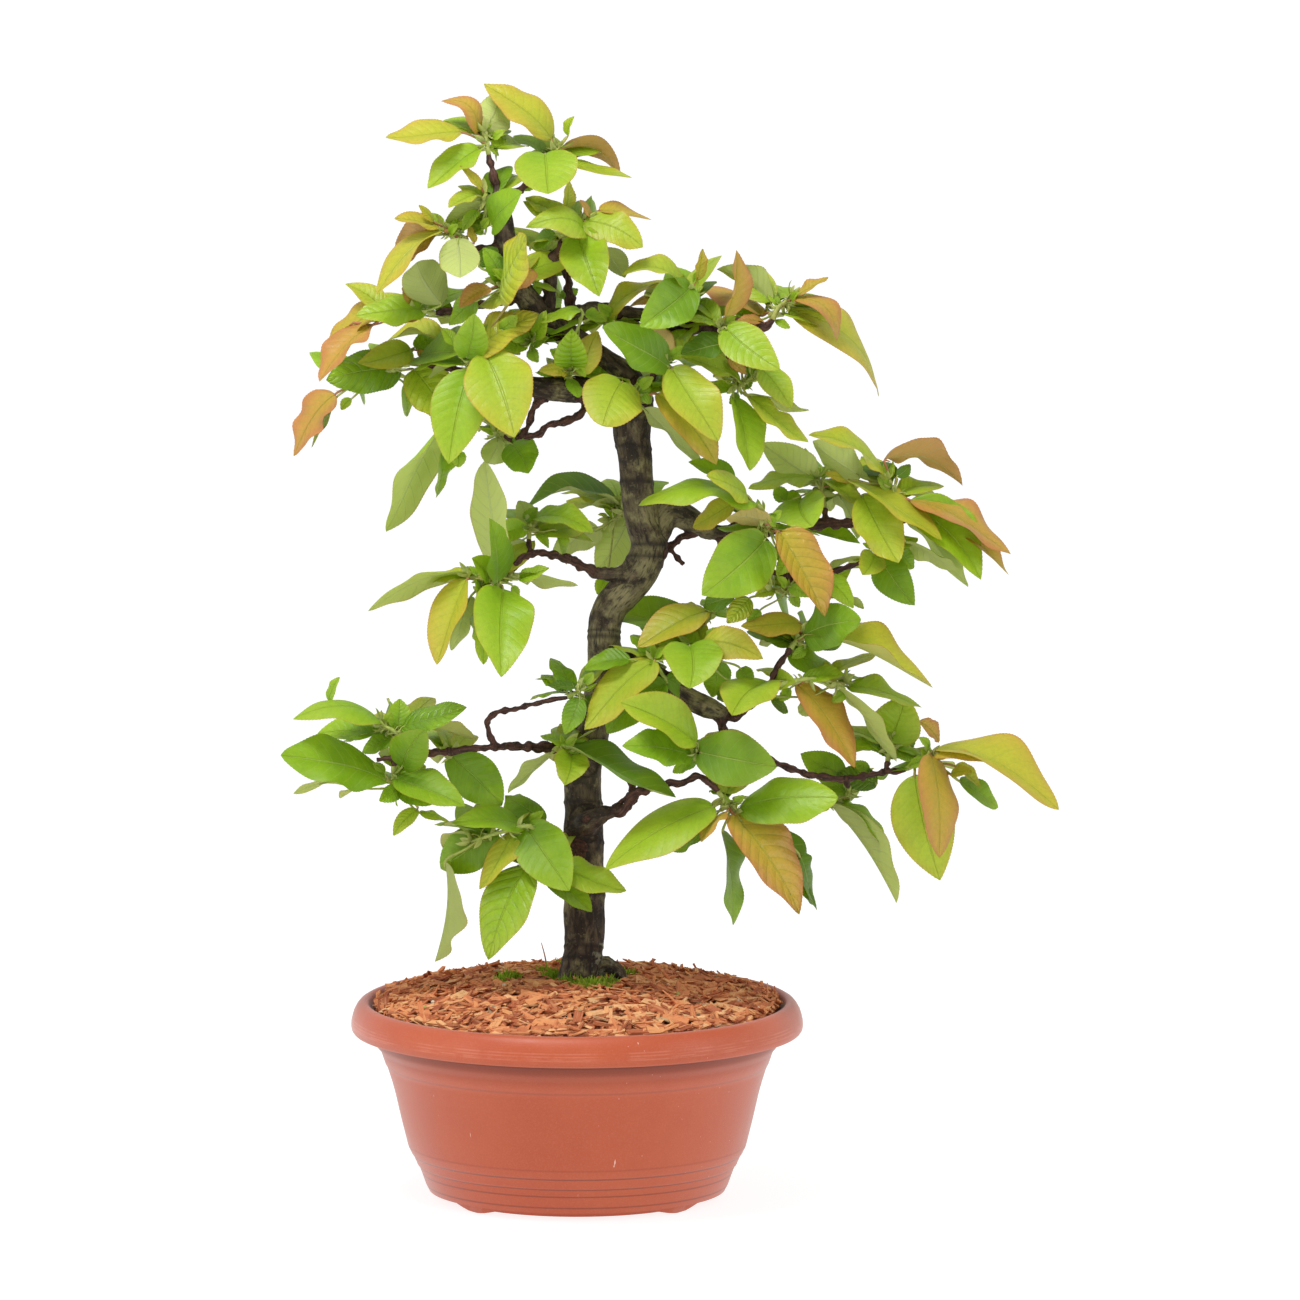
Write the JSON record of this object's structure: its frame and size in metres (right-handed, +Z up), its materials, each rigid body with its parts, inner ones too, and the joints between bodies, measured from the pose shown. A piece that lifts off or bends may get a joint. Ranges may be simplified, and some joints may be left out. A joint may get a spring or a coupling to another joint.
{
  "type": "chinese quince bonsai",
  "caption": "Chinese quince bonsai with a gently curved trunk, bare lower trunk and leafy sprays of young green and bronze leaves, growing in a round plastic bonsai pot under bark mulch.",
  "frame": {"origin": "centre of the pot's underside, on the surface that it stands on", "axes": "+Z up along the tree, +X to the right as seen in the picture, -Y towards the picture's viewer"},
  "size_m": [0.518, 0.302, 0.7491],
  "materials": {
    "pot": "satin terracotta-coloured moulded plastic with faint scuffs and fine turned lines",
    "soil": "dark crumbly potting mix",
    "mulch": "dry reddish-brown bark and wood chips",
    "bark": "dark grey-brown rough bark with ring scars",
    "leaf": "soft living leaves, glossy yellow-green above and matte pale green below, bronze when young"
  },
  "bodies": {
    "root": {"pot": "pot", "soil": "soil", "bark_chip_mulch": "mulch", "trunk_and_branches": "bark", "leaves_apex": "leaf", "leaves_apexLeft": "leaf", "leaves_apexRight": "leaf", "leaves_behindTrunk": "leaf", "leaves_crownBack": "leaf", "leaves_crownDark": "leaf", "leaves_crownFront": "leaf", "leaves_crownHanging": "leaf", "leaves_crownOrange": "leaf", "leaves_crownPink": "leaf", "leaves_heart": "leaf", "leaves_heartLow": "leaf", "leaves_hookFront": "leaf", "leaves_hookTop": "leaf", "leaves_knobEnd": "leaf", "leaves_leftBud": "leaf", "leaves_leftCrown": "leaf", "leaves_leftMatte": "leaf", "leaves_leftOuter": "leaf", "leaves_leftOuterLow": "leaf", "leaves_leftSpray": "leaf", "leaves_leftTop": "leaf", "leaves_leftUpper": "leaf", "leaves_longEnd": "leaf", "leaves_longErect": "leaf", "leaves_longLeaf": "leaf", "leaves_longMiddle": "leaf", "leaves_lowFront": "leaf", "leaves_lowLeft": "leaf", "leaves_lowerFront": "leaf", "leaves_lowerUp": "leaf", "leaves_middle": "leaf", "leaves_returnEnd": "leaf", "leaves_rightArch": "leaf", "leaves_rightBuds": "leaf", "leaves_rightCrown": "leaf", "leaves_rightEnd": "leaf", "leaves_rightErect": "leaf", "leaves_rightFront": "leaf", "leaves_rightInner": "leaf", "leaves_rightMiddle": "leaf", "leaves_rightTop": "leaf", "leaves_rightViolin": "leaf", "leaves_riserEnd": "leaf", "leaves_trunkFront": "leaf"}
  },
  "joints": []
}
